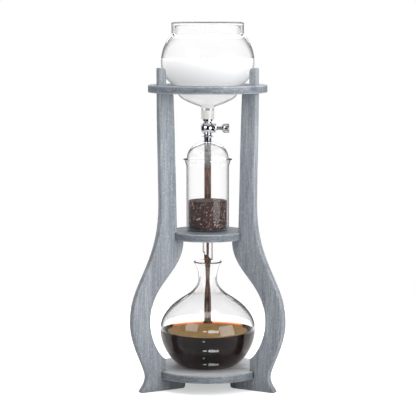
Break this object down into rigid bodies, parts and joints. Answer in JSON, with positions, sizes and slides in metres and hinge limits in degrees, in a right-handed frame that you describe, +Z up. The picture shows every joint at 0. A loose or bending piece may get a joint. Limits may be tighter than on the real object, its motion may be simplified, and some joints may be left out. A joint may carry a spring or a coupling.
{
  "type": "cold drip coffee tower",
  "caption": "Cold drip coffee tower: a glass water globe with a needle drip valve over a glass brew chamber and a round carafe, in a curved wooden stand.",
  "frame": {"origin": "centre of the whole tower's box, on the plane of the feet's soles", "axes": "+Z up along the tower; -Y is the front, between the two front legs; +X is the knob's side"},
  "size_m": [0.1938, 0.1836, 0.458],
  "materials": {
    "stand_wood": "grey-blue washed plywood, satin, paler along the worn edges",
    "dowel_wood": "bare beech",
    "clear_glass": "clear blown borosilicate glass",
    "water": "clear, slightly cloudy water",
    "silicone": "translucent white silicone",
    "chrome": "polished chrome plating",
    "needle_steel": "turned stainless steel",
    "o_ring_rubber": "black nitrile rubber",
    "filter_steel": "perforated stainless steel",
    "coffee_grounds": "moist dark roast grounds",
    "brewed_coffee": "near black coffee, amber at its edge"
  },
  "bodies": {
    "frame": {"leg_left": "stand_wood", "leg_right": "stand_wood", "leg_rear": "stand_wood", "top_shelf": "stand_wood", "middle_shelf": "stand_wood", "base_shelf": "stand_wood", "shelf_dowels": "dowel_wood"},
    "globe": {"water_globe": "clear_glass", "water": "water", "neck_stopper": "silicone", "inlet_tube": "chrome", "valve_body": "chrome", "packing_nut": "chrome", "spindle_o_ring": "o_ring_rubber", "drip_nozzle": "chrome"},
    "globe_lid": {"globe_lid": "clear_glass"},
    "needle": {"needle": "needle_steel"},
    "knob": {"spindle": "chrome", "adjusting_knob": "chrome"},
    "brewer": {"brew_chamber": "clear_glass", "filter_gasket": "silicone", "filter_disc": "filter_steel", "coffee_grounds": "coffee_grounds"},
    "dome_lid": {"dome_lid": "clear_glass"},
    "carafe": {"carafe": "clear_glass", "brewed_coffee": "brewed_coffee"}
  },
  "joints": [
    {"name": "globe_lift", "type": "slide", "parent": "frame", "child": "globe", "axis": [0, 0, 1], "range_m": [0, 0.18]},
    {"name": "lid_lift", "type": "slide", "parent": "globe", "child": "globe_lid", "axis": [0, 0, 1], "range_m": [0, 0.06]},
    {"name": "needle_travel", "type": "slide", "parent": "globe", "child": "needle", "axis": [1, 0, 0], "range_m": [0, 0.0015]},
    {"name": "knob_turn", "type": "hinge", "parent": "needle", "child": "knob", "pos_m": [0, -0.01735, 0.32622], "axis": [1, 0, 0], "range_deg": [0, 720]},
    {"name": "brewer_lift", "type": "slide", "parent": "frame", "child": "brewer", "axis": [0, 0, 1], "range_m": [0, 0.063]},
    {"name": "dome_lift", "type": "slide", "parent": "brewer", "child": "dome_lid", "axis": [0, 0, 1], "range_m": [0, 0.045]},
    {"name": "carafe_out", "type": "slide", "parent": "frame", "child": "carafe", "axis": [0, -1, 0], "range_m": [0, 0.17]}
  ],
  "couplings": [
    {"joint": "knob_turn", "follows": "needle_travel", "rad_per_m": 8377.6},
    {"joint": "brewer_lift", "follows": "globe_lift", "ratio": 0.35},
    {"joint": "dome_lift", "follows": "globe_lift", "ratio": 0.25}
  ]
}
